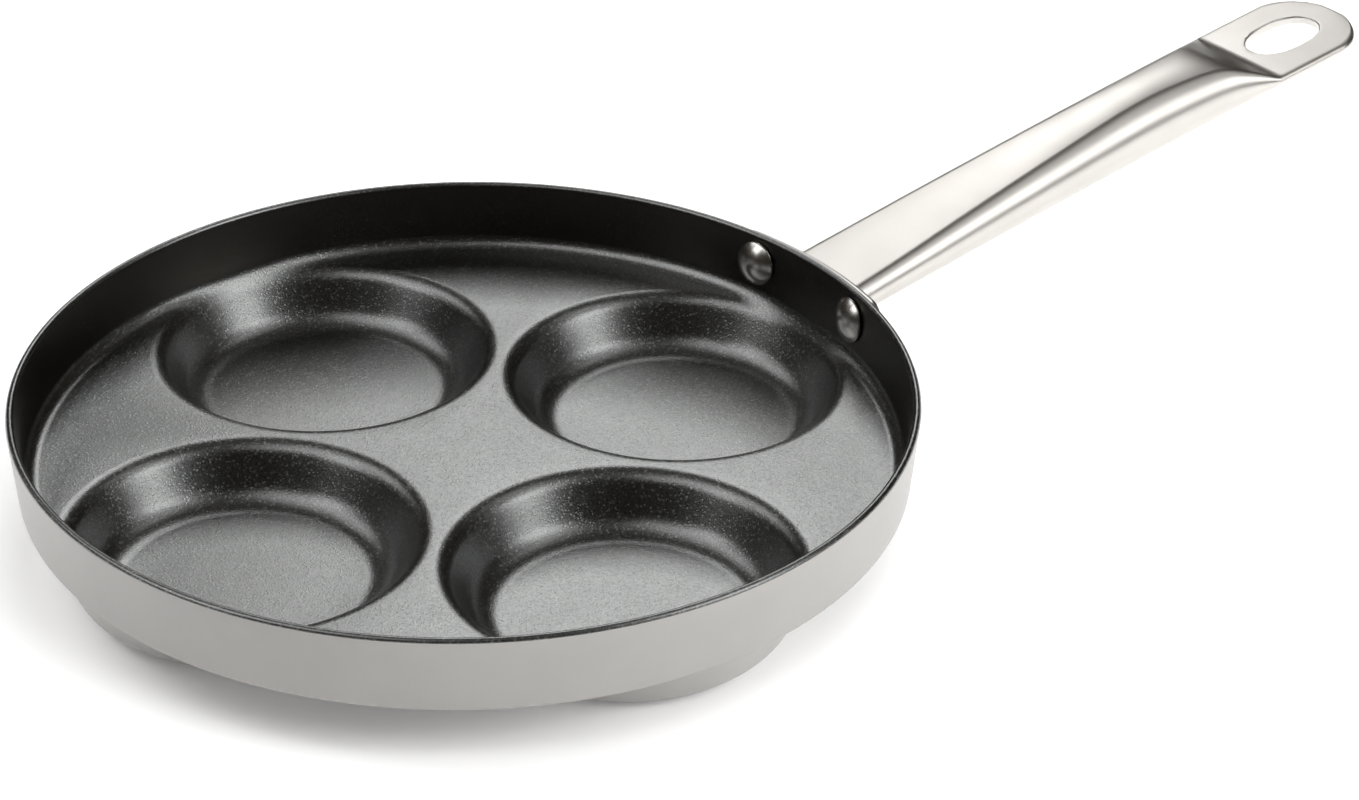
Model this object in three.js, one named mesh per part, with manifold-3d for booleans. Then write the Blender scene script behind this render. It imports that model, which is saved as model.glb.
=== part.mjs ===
// A frying pan pressed with four round cups, for small pancakes or fried eggs.
//
// The pan is one sheet of metal: a low wall round a flat plate, and four cups pressed down out of the
// plate, whose floors are what the pan stands on. A hollow handle, made from a round tube pressed oval
// and then flat at its tip, is carried by a curved bracket outside the wall, and two rivets with domed
// heads go through the wall and the bracket.
//
// Millimetres. +Z is up, the table is at z = 0, and the handle points along +X, in line with one cup.
// Everything is placed from the pan's axis, and at the end the whole pan is shifted along X so that
// the origin is the middle of its footprint.

import * as THREE from "three";
import { mergeVertices } from "three/addons/utils/BufferGeometryUtils.js";
import Module from "manifold-3d";

const wasm = await Module();
wasm.setup();

// Fits
const clearance = 0.3; // between pieces that seat on each other
const cutOverrun = 4; // how far a cutting shape reaches past what it cuts
const weld = 0.001; // corners nearer than this are one

// Pan sheet and wall
const rimRadius = 120; // outside of the rim
const panHeight = 36.3; // table to the top of the rim
const sheet = 2.2; // thickness of the pressed metal
const wallFlare = 1.7; // how much wider the wall is at the rim than at its foot
const cornerUnder = 1.5; // outside corner at the wall's foot
const cornerInside = 4; // hollow corner between the plate and the wall

// Cups
const cupDepth = 14.6;
const cupLand = 1.2; // flat strip left between neighbouring cups
const cupEdge = 1.4; // from a cup's mouth to the outside of the rim
const slopeInside = THREE.MathUtils.degToRad(60.5); // the cup's wall from the level, on the cooking side
const lipInside = 6; // bend at the mouth, on the cooking side
const heelInside = 9.5; // bend at the floor, on the cooking side
const slopeUnder = THREE.MathUtils.degToRad(66.2); // the same three on the underside, where the
const lipUnder = 2.3; // metal is a little thicker round the cup than in the plate
const heelUnder = 11.3;

// Rivets
const rivetSpacing = 41.5; // between the two axes, at the wall
const rivetToRim = 2; // from the edge of a head up to the top of the rim
const rivetToPlate = 4.5; // from its lower edge down to the plate
const rivetShank = 3; // radius
const rivetDome = 2.6; // height of the domed head inside the pan
const rivetEdge = 0.4; // straight edge under the dome
const rivetTail = 4.4; // radius of the closed end outside
const rivetTailDome = 1.7; // its height

// Handle bracket
const bracketPlate = 2; // thickness
const bracketEnd = 11.75; // from a rivet to the bracket's end, measured round the wall
const bracketBelowRim = 1.2; // from its upper edge up to the top of the rim
const tongueLength = 18; // how far its tongue runs into the tube, from the wall

// Handle tube
const gripLength = 167.5; // from inside the wall to the crease where the tube is pressed flat
const gripBelowRivets = 2; // from the rivets' axes down to the tube's middle line at the wall
const gripFootSlope = 0.1775; // slope of the middle line at the wall
const gripCreaseSlope = 0.1424; // its slope at the crease
const girthFoot = 72.4; // the tube measured round, at the wall
const girthCrease = 76; // the same at the crease
const belly = 9.3; // half the tube's height where it is fullest
const tubeWall = 1.2;
const bulgeShare = 0.7; // how far each side swells beyond the flat panels, against the half height
const crownShare = 0.07; // rise of the panels in their middle, against the half height

// The tube's half height along the grip: share of the length, and share of the way from flat to belly.
const swellShares = [
  [0, 0.38],
  [0.15, 0.49],
  [0.31, 0.65],
  [0.51, 0.84],
  [0.7, 1],
  [0.81, 0.97],
  [0.9, 0.82],
  [0.95, 0.49],
  [1, 0],
];

// Flat tip of the handle
const tipLength = 41;
const tipThickness = 2.4; // both walls of the tube pressed together
const tipSlope = 0.137; // slope
const tipHalfWidth = 18.4;
const tipWidestShare = 0.64; // where it is widest, along its length
const tipRoundness = 1.9; // 2 is an ellipse, more is squarer
const holeLength = 26;
const holeWidth = 15.8;
const holeFromTip = 22.2; // hole's middle to the tip
const holeRoundness = 2.3;

// How finely curves are cut into facets
const wallSteps = 9; // round an eighth of the wall
const landSteps = 10; // along the strip between two cups
const bendSteps = 3; // across each bend of a cup
const cornerSteps = 5; // across the hollow corner
const footSteps = 2;
const rimSteps = 4;
const panelSteps = 2; // half a flat panel of the tube
const sideSteps = 5; // half a round side
const gripSteps = 26;
const tipSteps = 4;
const noseSteps = 8;
const bracketSteps = 28;
const holeSteps = 28;
const rivetSteps = 22;
const domeSteps = 6;
const coneSteps = 144;

// Sizes that follow from the ones above
const plateTop = cupDepth + sheet;
const plateUnder = cupDepth;
const rimBead = sheet / 2;
const rimCentre = panHeight - rimBead;
const rivetHead = (panHeight - plateTop - rivetToRim - rivetToPlate) / 2;
const rivetHeight = panHeight - rivetToRim - rivetHead;
const gripFoot = rivetHeight - gripBelowRivets;
const footCentre = plateUnder + cornerUnder;
const footRadius = rimRadius - wallFlare;
const lean = Math.atan2(wallFlare, rimCentre - footCentre);
const cupMouth = (rimRadius - cupEdge - cupLand * Math.SQRT1_2) / (1 + Math.SQRT2);
const cupReach = cupMouth + cupLand / 2;
const cupCentre = cupReach * Math.SQRT2;
const gripStart = rimRadius - sheet;
const crease = gripStart + gripLength;
const tipEnd = crease + tipLength;
const flatHalf = tipThickness / 2;
const rivetRadius = innerWall(rivetHeight);
const bracketLength = rivetSpacing + 2 * bracketEnd;
const bracketWidth = 2 * (panHeight - bracketBelowRim - rivetHeight);
const rivetAngle = Math.asin(rivetSpacing / 2 / rivetRadius);
const bracketInside = clearance;
const bracketOutside = clearance + bracketPlate;

const coating = new THREE.MeshStandardMaterial({ color: 0x2b2b2c, roughness: 0.38, metalness: 0.1 });
const polished = new THREE.MeshStandardMaterial({ color: 0xd6d4d0, roughness: 0.16, metalness: 1 });
const brushed = new THREE.MeshStandardMaterial({ color: 0xb9b7b3, roughness: 0.32, metalness: 1 });

// Solids

// Turns a list of triangles, each nine numbers, into a solid. Corners that meet become one.
function solidFrom(geometry) {
  const bare = geometry.index ? geometry.toNonIndexed() : geometry.clone();
  bare.deleteAttribute("normal");
  bare.deleteAttribute("uv");
  const merged = mergeVertices(bare, weld);
  return new wasm.Manifold(
    new wasm.Mesh({
      numProp: 3,
      vertProperties: new Float32Array(merged.attributes.position.array),
      triVerts: new Uint32Array(merged.index.array),
    }),
  );
}

function geometryFrom(solid) {
  const cut = solid.getMesh();
  const geometry = new THREE.BufferGeometry();
  geometry.setAttribute("position", new THREE.BufferAttribute(cut.vertProperties, 3));
  geometry.setIndex(new THREE.BufferAttribute(cut.triVerts, 1));
  geometry.computeVertexNormals();
  return geometry;
}

// Collects triangles from rows of points.
class Skin {
  constructor() {
    this.corners = [];
  }

  triangle(a, b, c) {
    for (const point of [a, b, c]) this.corners.push(point.x, point.y, point.z);
  }

  // Joins two rows of points that run the same way. A closed row's last point joins its first.
  strip(near, far, closed) {
    const count = closed ? near.length : near.length - 1;
    for (let i = 0; i < count; i++) {
      const j = (i + 1) % near.length;
      this.triangle(near[i], near[j], far[j]);
      this.triangle(near[i], far[j], far[i]);
    }
  }

  // Closes a ring to one point.
  fan(ring, tip) {
    for (let i = 0; i < ring.length; i++) this.triangle(ring[i], ring[(i + 1) % ring.length], tip);
  }

  // Closes the skin over rings that run from one end to the other, turning left about the way they go.
  tube(rings) {
    for (let i = 1; i < rings.length; i++) this.strip(rings[i - 1], rings[i], true);
  }

  geometry() {
    const geometry = new THREE.BufferGeometry();
    geometry.setAttribute("position", new THREE.Float32BufferAttribute(this.corners, 3));
    return geometry;
  }
}

// Pan body

function outerWall(z) {
  return footRadius + (wallFlare * (z - footCentre)) / (rimCentre - footCentre);
}

function innerWall(z) {
  return outerWall(z) - sheet;
}

// One side of the sheet where a cup is pressed into it: a bend at the mouth, a straight slope and a
// bend at the floor, which run into each other without a corner.
class CupSide {
  constructor(lip, slope, heel) {
    this.lip = lip;
    this.slope = slope;
    this.heel = Math.min(heel, cupDepth / (1 - Math.cos(slope)) - lip);
    const rounds = this.lip + this.heel;
    const straight = (cupDepth - rounds * (1 - Math.cos(slope))) / Math.sin(slope);
    this.floor = cupMouth - rounds * Math.sin(slope) - straight * Math.cos(slope);
  }

  // How far the cup lies below the plate at a distance from its axis.
  drop(distance) {
    const lipEnd = cupMouth - this.lip * Math.sin(this.slope);
    const heelEnd = this.floor + this.heel * Math.sin(this.slope);
    if (distance >= cupMouth) return 0;
    if (distance >= lipEnd) return this.lip - Math.sqrt(this.lip ** 2 - (cupMouth - distance) ** 2);
    if (distance >= heelEnd) {
      return this.lip * (1 - Math.cos(this.slope)) + (lipEnd - distance) * Math.tan(this.slope);
    }
    if (distance <= this.floor) return cupDepth;
    return cupDepth - this.heel + Math.sqrt(this.heel ** 2 - (distance - this.floor) ** 2);
  }

  // Radii of the rings round the cup's axis, across both bends.
  radii() {
    const radii = [];
    for (let i = 0; i <= bendSteps; i++) {
      radii.push(this.floor + this.heel * Math.sin((i / bendSteps) * this.slope));
    }
    for (let i = bendSteps; i >= 0; i--) {
      radii.push(cupMouth - this.lip * Math.sin((i / bendSteps) * this.slope));
    }
    return radii;
  }
}

const cupSides = {
  inside: new CupSide(lipInside, slopeInside, heelInside),
  under: new CupSide(lipUnder, slopeUnder, heelUnder),
};

// Distance from a point of the pan to the axis of the cup that it lies nearest to.
function fromCup(x, y) {
  const along = Math.max(Math.abs(x), Math.abs(y)) - cupCentre;
  return Math.hypot(along, Math.min(Math.abs(x), Math.abs(y)));
}

// The wall in section, from the plate's top up the inside, over the rim and down to its underside:
// distance from the axis, height, and which side of the sheet the cups draw down with it.
function wallSection() {
  const section = [];
  const cornerZ = plateTop + cornerInside;
  const cornerR = innerWall(cornerZ) - cornerInside / Math.cos(lean);
  for (let i = 0; i <= cornerSteps; i++) {
    const turn = (i / cornerSteps) * (Math.PI / 2 - lean);
    const r = cornerR + cornerInside * Math.sin(turn);
    const z = cornerZ - cornerInside * Math.cos(turn);
    section.push({ r, z, side: "inside" });
  }
  for (let i = 0; i <= rimSteps; i++) {
    const turn = Math.PI * (1 - i / rimSteps);
    const r = rimRadius - rimBead + rimBead * Math.cos(turn);
    const z = rimCentre + rimBead * Math.sin(turn);
    section.push({ r, z, side: "rim" });
  }
  for (let i = 0; i <= footSteps; i++) {
    const turn = (i / footSteps) * (Math.PI / 2);
    const r = footRadius - cornerUnder + cornerUnder * Math.cos(turn);
    const z = footCentre - cornerUnder * Math.sin(turn);
    section.push({ r, z, side: "under" });
  }
  return section;
}

// One ring of the wall, with the cups' drop carried softly into it.
function wallRing({ r, z, side }) {
  const ring = [];
  const count = wallSteps * 8;
  for (let i = 0; i < count; i++) {
    const angle = (i / count) * 2 * Math.PI;
    const x = r * Math.cos(angle);
    const y = r * Math.sin(angle);
    const drop = side === "rim" ? 0 : cupSides[side].drop(fromCup(x, y));
    ring.push(new THREE.Vector3(x, y, z - drop));
  }
  return ring;
}

// The outline of one quarter of the plate, seen from above: the wall's foot, then in along the strip
// between two cups to the pan's axis, and back along the other strip.
function quarterOutline(foot) {
  const half = [];
  for (let i = 0; i <= wallSteps; i++) {
    const angle = ((i / wallSteps) * Math.PI) / 4;
    half.push([foot * Math.cos(angle), foot * Math.sin(angle)]);
  }
  const corner = Math.atan2(foot * Math.SQRT1_2, foot * Math.SQRT1_2 - cupCentre);
  for (let i = 1; i <= landSteps; i++) {
    const turn = corner + (i / landSteps) * (Math.PI - corner);
    const reach = cupCentre / (Math.sin(turn) - Math.cos(turn));
    half.push([reach * Math.sin(turn), reach * Math.sin(turn)]);
  }
  const other = half.slice(1, -1).reverse();
  return [...half, ...other.map(([x, y]) => [x, -y])];
}

// One side of the plate with its four cups: rings round each cup's axis, from its floor to its mouth,
// and from there to the outline of its quarter. Towards the wall, where a cup's mouth would lie beyond
// the outline, the rings are drawn in.
function plateSide(skin, foot, side) {
  const cup = cupSides[side];
  const under = side === "under";
  const level = under ? plateUnder : plateTop;
  const outline = quarterOutline(foot);
  for (let quarter = 0; quarter < 4; quarter++) {
    const turn = (quarter * Math.PI) / 2;
    const place = (x, y) => {
      const z = level - cup.drop(Math.hypot(x - cupCentre, y));
      return new THREE.Vector3(x, y, z).applyAxisAngle(new THREE.Vector3(0, 0, 1), turn);
    };
    const rings = cup.radii().map((radius) =>
      outline.map(([x, y]) => {
        const edge = Math.hypot(x - cupCentre, y);
        const drawn = cup.floor + ((radius - cup.floor) * (edge - cup.floor)) / (cupReach - cup.floor);
        const reach = (edge < cupReach ? drawn : radius) / edge;
        return place(cupCentre + (x - cupCentre) * reach, y * reach);
      }),
    );
    rings.push(outline.map(([x, y]) => place(x, y)));
    const floor = place(cupCentre, 0);
    skin.tube(under ? rings : rings.map((ring) => ring.toReversed()));
    skin.fan(under ? rings[0].toReversed() : rings[0], floor);
  }
}

function rivetPlacement(side) {
  const place = new THREE.Object3D();
  const angle = side * rivetAngle;
  const outward = new THREE.Vector3(Math.cos(angle), Math.sin(angle), -Math.tan(lean)).normalize();
  place.position.set(rivetRadius * Math.cos(angle), rivetRadius * Math.sin(angle), rivetHeight);
  place.quaternion.setFromUnitVectors(new THREE.Vector3(0, 0, 1), outward);
  place.updateMatrix();
  return place.matrix;
}

// A hole for one rivet's shank, through the wall and whatever lies on it.
function rivetHole(side) {
  const depth = sheet + bracketOutside + 2 * cutOverrun;
  const hole = new THREE.CylinderGeometry(rivetShank + clearance, rivetShank + clearance, depth, rivetSteps);
  hole.rotateX(Math.PI / 2);
  hole.translate(0, 0, depth / 2 - cutOverrun);
  hole.applyMatrix4(rivetPlacement(side));
  return solidFrom(hole);
}

function makePanBody() {
  const skin = new Skin();
  const section = wallSection();
  const rings = section.map(wallRing);
  skin.tube(rings.map((ring) => ring.toReversed()));
  plateSide(skin, section[0].r, "inside");
  plateSide(skin, section.at(-1).r, "under");
  let body = solidFrom(skin.geometry());
  for (const side of [1, -1]) body = body.subtract(rivetHole(side));
  return geometryFrom(body);
}

// Handle

// A closed outline of the oval tube, half as high and half as wide as given: two flat panels, crowned
// a little, and two round sides.
function ovalOutline(halfHeight, halfWidth) {
  const bulge = bulgeShare * halfHeight;
  const panel = halfWidth - bulge;
  const radius = (halfHeight ** 2 + bulge ** 2) / (2 * bulge);
  const opening = 2 * Math.atan2(bulge, halfHeight);
  const quarter = [];
  for (let i = 0; i < panelSteps; i++) {
    const share = i / panelSteps;
    quarter.push([panel * share, halfHeight * (1 + crownShare * (1 - share ** 2))]);
  }
  for (let i = 0; i <= sideSteps; i++) {
    const turn = opening * (1 - i / sideSteps);
    quarter.push([halfWidth - radius + radius * Math.cos(turn), radius * Math.sin(turn)]);
  }
  const below = quarter.slice(1, -1).reverse();
  const right = [...quarter, ...below.map(([y, z]) => [y, -z]), [0, -quarter[0][1]]];
  const left = right.slice(1, -1).reverse();
  return [...right, ...left.map(([y, z]) => [-y, z])];
}

// Stations along the handle: distance from the pan's axis, height and slope of the middle line there,
// and half the height and width of the handle.
function gripStation(along) {
  const eased = (gripCreaseSlope - gripFootSlope) * (along / gripLength);
  const height = gripFoot + along * (gripFootSlope + eased / 2);
  return { x: gripStart + along, z: height, slope: gripFootSlope + eased };
}

function gripStations() {
  const swell = new THREE.SplineCurve(swellShares.map((pair) => new THREE.Vector2(...pair)));
  const stations = [];
  for (let i = 0; i <= gripSteps; i++) {
    const point = swell.getPoint(i / gripSteps);
    const station = gripStation(point.x * gripLength);
    const halfHeight = flatHalf + (belly - flatHalf) * point.y;
    stations.push({ ...station, halfHeight, halfWidth: gripHalfWidth(halfHeight, point.x) });
  }
  return stations;
}

// The sheet that the round sides take up is taken from the flat panels, so the girth is kept.
function gripHalfWidth(halfHeight, share) {
  const bulge = bulgeShare * halfHeight;
  const radius = (halfHeight ** 2 + bulge ** 2) / (2 * bulge);
  const side = 2 * radius * 2 * Math.atan2(bulge, halfHeight);
  const girth = girthFoot + (girthCrease - girthFoot) * share;
  return (girth - 2 * side) / 4 + bulge;
}

function tipStation(along) {
  const creaseHeight = gripStation(gripLength).z;
  return { x: crease + along, z: creaseHeight + along * tipSlope, slope: tipSlope };
}

function tipStations() {
  const widest = tipLength * tipWidestShare;
  const nose = tipLength - widest;
  const creaseWidth = gripHalfWidth(flatHalf, 1);
  const stations = [];
  for (let i = 1; i <= tipSteps; i++) {
    const share = i / tipSteps;
    const swell = (tipHalfWidth - creaseWidth) * Math.sin((share * Math.PI) / 2);
    stations.push({ ...tipStation(widest * share), halfHeight: flatHalf, halfWidth: creaseWidth + swell });
  }
  for (let i = 1; i < noseSteps; i++) {
    const share = Math.sin(((i / noseSteps) * Math.PI) / 2);
    const left = Math.min(nose * (1 - share), flatHalf);
    const halfHeight = Math.sqrt(flatHalf ** 2 - (flatHalf - left) ** 2);
    const halfWidth = tipHalfWidth * (1 - share ** tipRoundness) ** (1 / tipRoundness);
    stations.push({ ...tipStation(widest + nose * share), halfHeight, halfWidth });
  }
  return stations;
}

// The ring of points where an outline stands square on the middle line.
function ringAt({ x, z, slope, halfHeight, halfWidth }, inset) {
  const tilt = Math.atan(slope);
  return ovalOutline(halfHeight - inset, halfWidth - inset).map(
    ([across, up]) => new THREE.Vector3(x - up * Math.sin(tilt), across, z + up * Math.cos(tilt)),
  );
}

// A solid of revolution that stands off the outside of the wall by a distance.
function wallCone(offset) {
  const low = -cutOverrun;
  const high = panHeight + cutOverrun;
  const profile = [
    [0, low],
    [outerWall(low) + offset, low],
    [outerWall(high) + offset, high],
    [0, high],
  ];
  const cone = new THREE.LatheGeometry(profile.map((pair) => new THREE.Vector2(...pair)), coneSteps);
  cone.rotateX(Math.PI / 2);
  return solidFrom(cone);
}

// The hanging hole, an oval slot cut square through the flat tip.
function hangingHole() {
  const outline = new THREE.Shape();
  for (let i = 0; i < holeSteps; i++) {
    const turn = (i / holeSteps) * 2 * Math.PI;
    const bend = (value) => Math.sign(value) * Math.abs(value) ** (2 / holeRoundness);
    const x = (holeLength / 2) * bend(Math.cos(turn));
    const y = (holeWidth / 2) * bend(Math.sin(turn));
    if (i) outline.lineTo(x, y);
    else outline.moveTo(x, y);
  }
  const depth = tipThickness + 2 * cutOverrun;
  const slot = new THREE.ExtrudeGeometry(outline, { depth, bevelEnabled: false });
  const middle = tipStation(tipLength - holeFromTip);
  slot.translate(0, 0, -depth / 2);
  slot.rotateY(-Math.atan(tipSlope));
  slot.translate(middle.x, 0, middle.z);
  return solidFrom(slot);
}

function makeHandleTube() {
  const grip = gripStations();
  const outside = [...grip, ...tipStations()].map((station) => ringAt(station, 0));
  const hollow = grip.filter((station) => station.halfHeight > 2 * tubeWall);
  const inside = hollow.map((station) => ringAt(station, tubeWall));
  const end = tipStation(tipLength);
  const last = hollow.at(-1);
  const skin = new Skin();
  skin.tube([inside[0], ...outside].map((ring) => ring.toReversed()));
  skin.fan(outside.at(-1).toReversed(), new THREE.Vector3(end.x, 0, end.z));
  skin.tube(inside);
  skin.fan(inside.at(-1), new THREE.Vector3(last.x, 0, last.z));
  const tube = solidFrom(skin.geometry());
  return geometryFrom(tube.subtract(wallCone(bracketOutside + clearance)).subtract(hangingHole()));
}

// Bracket

// A plate with round ends, bent to follow the wall, with a tongue that fills the foot of the tube.
function makeHandleBracket() {
  const half = bracketWidth / 2;
  const straight = bracketLength / 2 - half;
  const radius = outerWall(rivetHeight) + bracketInside;
  const rings = [];
  for (let i = 1; i < bracketSteps; i++) {
    const turn = Math.PI * (i / bracketSteps);
    const share = -Math.cos(turn);
    const along = (bracketLength / 2) * share;
    const beyond = Math.max(Math.abs(along) - straight, 0);
    const reach = Math.sqrt(half ** 2 - beyond ** 2);
    const angle = along / radius;
    const corner = (offset, up) => {
      const z = rivetHeight + up;
      const r = outerWall(z) + offset;
      return new THREE.Vector3(r * Math.cos(angle), r * Math.sin(angle), z);
    };
    rings.push([
      corner(bracketInside, -reach),
      corner(bracketInside, reach),
      corner(bracketOutside, reach),
      corner(bracketOutside, -reach),
    ]);
  }
  const first = rings[0];
  const last = rings.at(-1);
  const skin = new Skin();
  skin.tube(rings);
  skin.triangle(first[2], first[1], first[0]);
  skin.triangle(first[3], first[2], first[0]);
  skin.triangle(last[0], last[1], last[2]);
  skin.triangle(last[0], last[2], last[3]);
  let bracket = solidFrom(skin.geometry());
  bracket = bracket.add(makeTongue().subtract(wallCone((bracketInside + bracketOutside) / 2)));
  for (const side of [1, -1]) bracket = bracket.subtract(rivetHole(side));
  return geometryFrom(bracket);
}

function makeTongue() {
  const inset = tubeWall + clearance;
  const stations = gripStations().filter((station) => station.x <= gripStart + tongueLength);
  const rings = stations.map((station) => ringAt(station, inset));
  const first = stations[0];
  const last = stations.at(-1);
  const skin = new Skin();
  skin.tube(rings.map((ring) => ring.toReversed()));
  skin.fan(rings[0], new THREE.Vector3(first.x, 0, first.z));
  skin.fan(rings.at(-1).toReversed(), new THREE.Vector3(last.x, 0, last.z));
  return solidFrom(skin.geometry());
}

// Rivets

// A dome from its edge to its top, as radius and height above its flat base.
function domeProfile(radius, height) {
  const ball = (radius ** 2 + height ** 2) / (2 * height);
  const spread = Math.asin(radius / ball);
  const points = [];
  for (let i = 0; i <= domeSteps; i++) {
    const turn = spread * (1 - i / domeSteps);
    points.push([ball * Math.sin(turn), ball * Math.cos(turn) - (ball - height)]);
  }
  points.at(-1)[0] = 0;
  return points;
}

// One rivet along its own axis: the head inside the pan, then the shank, then the closed end outside.
// The wall is hollow towards the head, so the head stands off by the hollow under it as well.
function makeRivet(side) {
  const hollow = rivetHead ** 2 / (2 * rivetRadius);
  const seat = -clearance - hollow;
  const tailSeat = sheet + bracketOutside + clearance;
  const profile = [];
  for (const [radius, height] of domeProfile(rivetHead, rivetDome).reverse()) {
    profile.push([radius, seat - rivetEdge - height]);
  }
  profile.push([rivetHead, seat], [rivetShank, seat], [rivetShank, tailSeat]);
  for (const [radius, height] of domeProfile(rivetTail, rivetTailDome)) {
    profile.push([radius, tailSeat + height]);
  }
  const rivet = new THREE.LatheGeometry(profile.map((pair) => new THREE.Vector2(...pair)), rivetSteps);
  rivet.rotateX(Math.PI / 2);
  rivet.applyMatrix4(rivetPlacement(side));
  return geometryFrom(solidFrom(rivet));
}

// Assembly

const pan = new THREE.Group();
pan.position.x = -(tipEnd - rimRadius) / 2;

function add(name, geometry, material) {
  const mesh = new THREE.Mesh(geometry, material);
  mesh.name = name;
  pan.add(mesh);
}

add("pan_body", makePanBody(), coating);
add("handle_tube", makeHandleTube(), polished);
add("handle_bracket", makeHandleBracket(), brushed);
add("rivet_left", makeRivet(1), polished);
add("rivet_right", makeRivet(-1), polished);

export default pan;
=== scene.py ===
"""A four-cup pancake pan, dressed for a studio picture.

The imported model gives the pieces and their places. This script lays a fine surface over each of them,
by the same rules of shape, and gives it its finish: black non-stick coating, grey lacquer, polished
and satin stainless steel. Lengths are in metres, the table is at height zero, and the handle points
along +X.
"""

import logging
import math
from collections.abc import Callable, Mapping, Sequence
from dataclasses import dataclass
from enum import Enum

import bmesh
import bpy
from mathutils import Matrix, Vector


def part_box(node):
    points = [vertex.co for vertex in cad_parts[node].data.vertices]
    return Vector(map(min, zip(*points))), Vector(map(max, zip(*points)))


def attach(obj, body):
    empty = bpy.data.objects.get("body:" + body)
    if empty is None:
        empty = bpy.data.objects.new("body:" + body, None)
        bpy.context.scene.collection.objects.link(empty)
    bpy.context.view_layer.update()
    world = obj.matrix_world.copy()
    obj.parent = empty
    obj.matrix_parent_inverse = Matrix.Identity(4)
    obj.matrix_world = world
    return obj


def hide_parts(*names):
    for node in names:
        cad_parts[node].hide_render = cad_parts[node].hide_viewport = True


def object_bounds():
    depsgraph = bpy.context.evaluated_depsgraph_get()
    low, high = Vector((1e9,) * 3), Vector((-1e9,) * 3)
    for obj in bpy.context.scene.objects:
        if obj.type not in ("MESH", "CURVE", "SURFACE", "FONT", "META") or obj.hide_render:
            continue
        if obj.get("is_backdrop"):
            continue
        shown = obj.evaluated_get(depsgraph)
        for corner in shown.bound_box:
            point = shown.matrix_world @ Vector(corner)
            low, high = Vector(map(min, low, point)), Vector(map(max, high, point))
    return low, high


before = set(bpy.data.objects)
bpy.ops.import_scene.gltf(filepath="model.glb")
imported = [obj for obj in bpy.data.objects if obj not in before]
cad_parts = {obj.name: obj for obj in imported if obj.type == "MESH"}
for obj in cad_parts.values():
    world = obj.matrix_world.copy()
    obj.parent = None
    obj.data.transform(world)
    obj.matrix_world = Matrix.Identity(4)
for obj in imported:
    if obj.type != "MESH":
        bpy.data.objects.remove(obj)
CAD_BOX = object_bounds()

MM = 0.001
MERGE_DISTANCE = 0.0005 * MM
BODY = "root"
LOG = logging.getLogger("pancake_pan")

Ring = list[Vector]
Colour = tuple[float, float, float]
Span = tuple[float, float]
Stop = tuple[float, tuple[float, float, float, float]]
Settings = Mapping[str, object]
Values = Mapping[object, object]


class Side(Enum):
    """The two sides of the pan's sheet."""

    COOKING = "cooking"
    UNDER = "under"


class Zone(Enum):
    """Where a face of the pan lies, which decides its finish."""

    COATING = 0
    LACQUER = 1


# Shader graphs


class Signal:
    """The value of one node socket, on which shader maths is written as plain expressions."""

    def __init__(self, graph: "Graph", socket: bpy.types.NodeSocket) -> None:
        """Keeps the socket and the graph that it belongs to."""
        self.graph = graph
        self.socket = socket

    def _maths(self, operation: str, first: object, second: object = 0.0) -> "Signal":
        """Adds one Math node.

        Args:
            operation: The Math node's operation.
            first: Its first value, a number or a signal.
            second: Its second value.

        Returns:
            The node's result.
        """
        return self.graph.add("ShaderNodeMath", {"operation": operation}, {0: first, 1: second})

    def __add__(self, other: object) -> "Signal":
        """Sum."""
        return self._maths("ADD", self, other)

    __radd__ = __add__

    def __sub__(self, other: object) -> "Signal":
        """Difference."""
        return self._maths("SUBTRACT", self, other)

    def __rsub__(self, other: object) -> "Signal":
        """Difference, the other way round."""
        return self._maths("SUBTRACT", other, self)

    def __mul__(self, other: object) -> "Signal":
        """Product."""
        return self._maths("MULTIPLY", self, other)

    __rmul__ = __mul__

    def __truediv__(self, other: object) -> "Signal":
        """Quotient."""
        return self._maths("DIVIDE", self, other)

    def eased(self, low: float, high: float) -> "Signal":
        """Goes smoothly from zero at the low value to one at the high value.

        Args:
            low: Value that gives zero.
            high: Value that gives one.

        Returns:
            The eased signal.
        """
        settings = {"interpolation_type": "SMOOTHSTEP"}
        values = {"Value": self, "From Min": low, "From Max": high}
        return self.graph.add("ShaderNodeMapRange", settings, values)


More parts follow.
